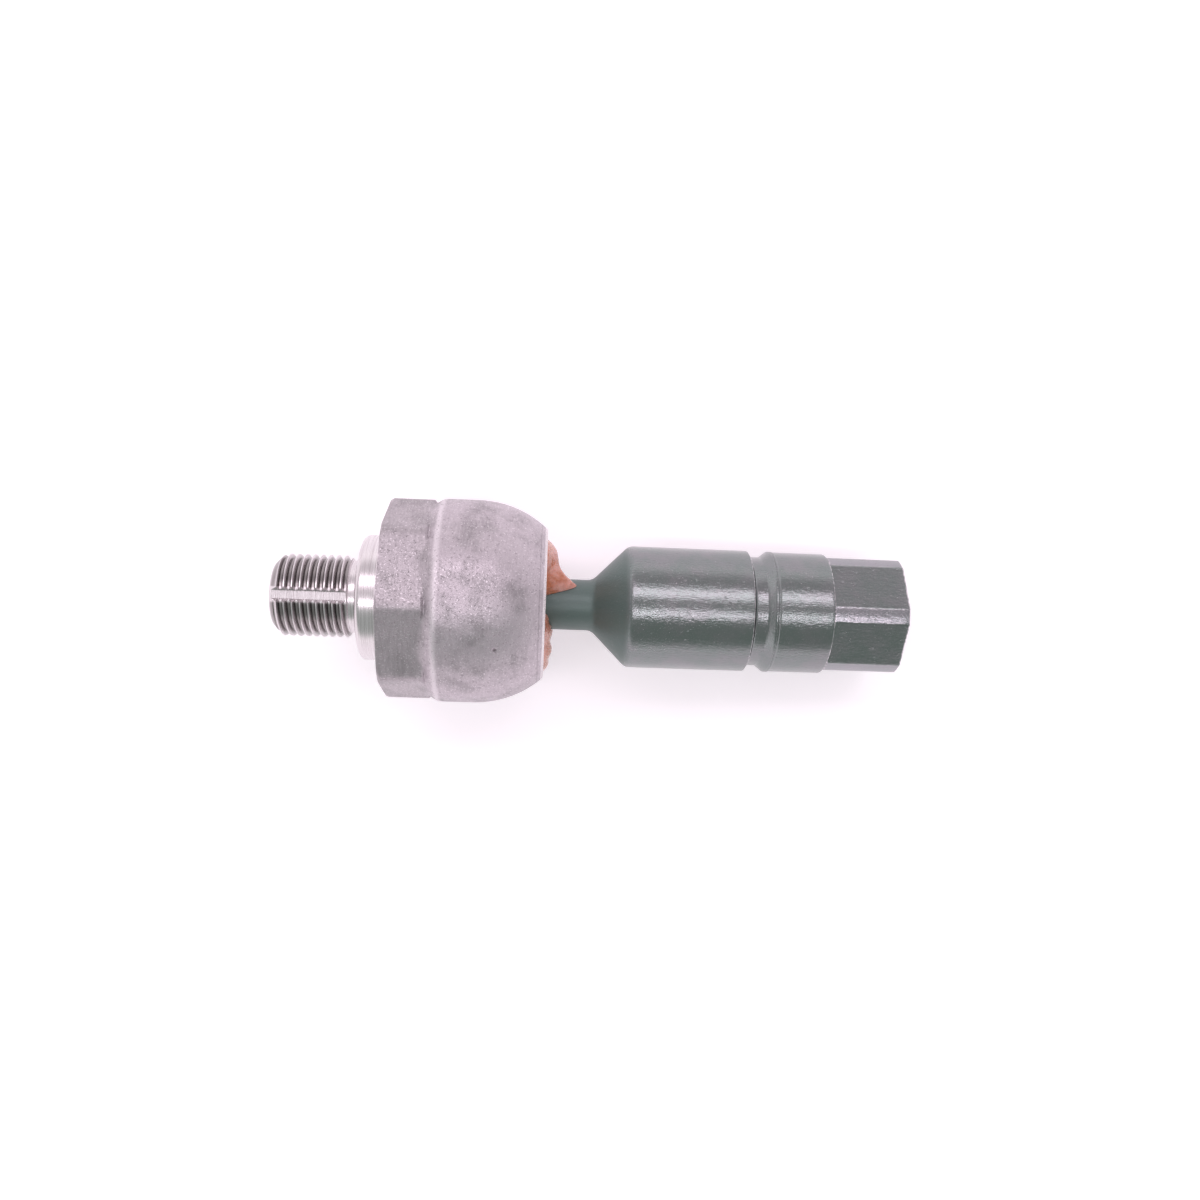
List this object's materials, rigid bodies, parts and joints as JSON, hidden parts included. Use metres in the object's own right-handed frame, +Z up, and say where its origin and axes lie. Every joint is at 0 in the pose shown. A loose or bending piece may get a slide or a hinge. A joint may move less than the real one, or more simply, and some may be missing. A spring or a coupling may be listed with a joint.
{
  "type": "axial tie rod joint",
  "caption": "Axial steering tie rod joint: a cup housing with a threaded stud and eight-sided collar holds a ball-ended rod that is tapped at its hexagonal end.",
  "frame": {"origin": "on the joint's axis, at the shoulder of the housing that seats on the steering rack", "axes": "+X along the axis from the rack stud towards the hexagonal end of the tie rod, +Z up with the joint lying on its side, and a corner of the collar standing near +Z"},
  "size_m": [0.1212, 0.0396, 0.0396],
  "materials": {
    "forged_steel": "satin forged and turned steel",
    "spring_steel": "hardened spring steel",
    "zinc_plated_steel": "bright zinc plate",
    "seat_plastic": "natural acetal",
    "grease": "wet orange grease",
    "oxide_steel": "semi-gloss black oxide over turned steel"
  },
  "bodies": {
    "housing": {"housing": "forged_steel", "preload_spring": "spring_steel", "pressure_disc": "zinc_plated_steel", "grease_charge": "grease"},
    "seats": {"rear_seat": "seat_plastic", "front_seat": "seat_plastic"},
    "mouth_grease": {"mouth_grease": "grease"},
    "tie_rod": {"tie_rod": "oxide_steel"}
  },
  "joints": [
    {"name": "seat_turn", "type": "hinge", "parent": "housing", "child": "seats", "pos_m": [0.0225, 0, 0], "axis": [1, 0, 0], "continuous": true},
    {"name": "rod_tilt", "type": "hinge", "parent": "seats", "child": "mouth_grease", "pos_m": [0.0225, 0, 0], "axis": [0, 1, 0], "range_deg": [-25, 25], "deforming": ["mouth_grease"]},
    {"name": "rod_spin", "type": "hinge", "parent": "mouth_grease", "child": "tie_rod", "pos_m": [0.0225, 0, 0], "axis": [1, 0, 0], "continuous": true}
  ]
}
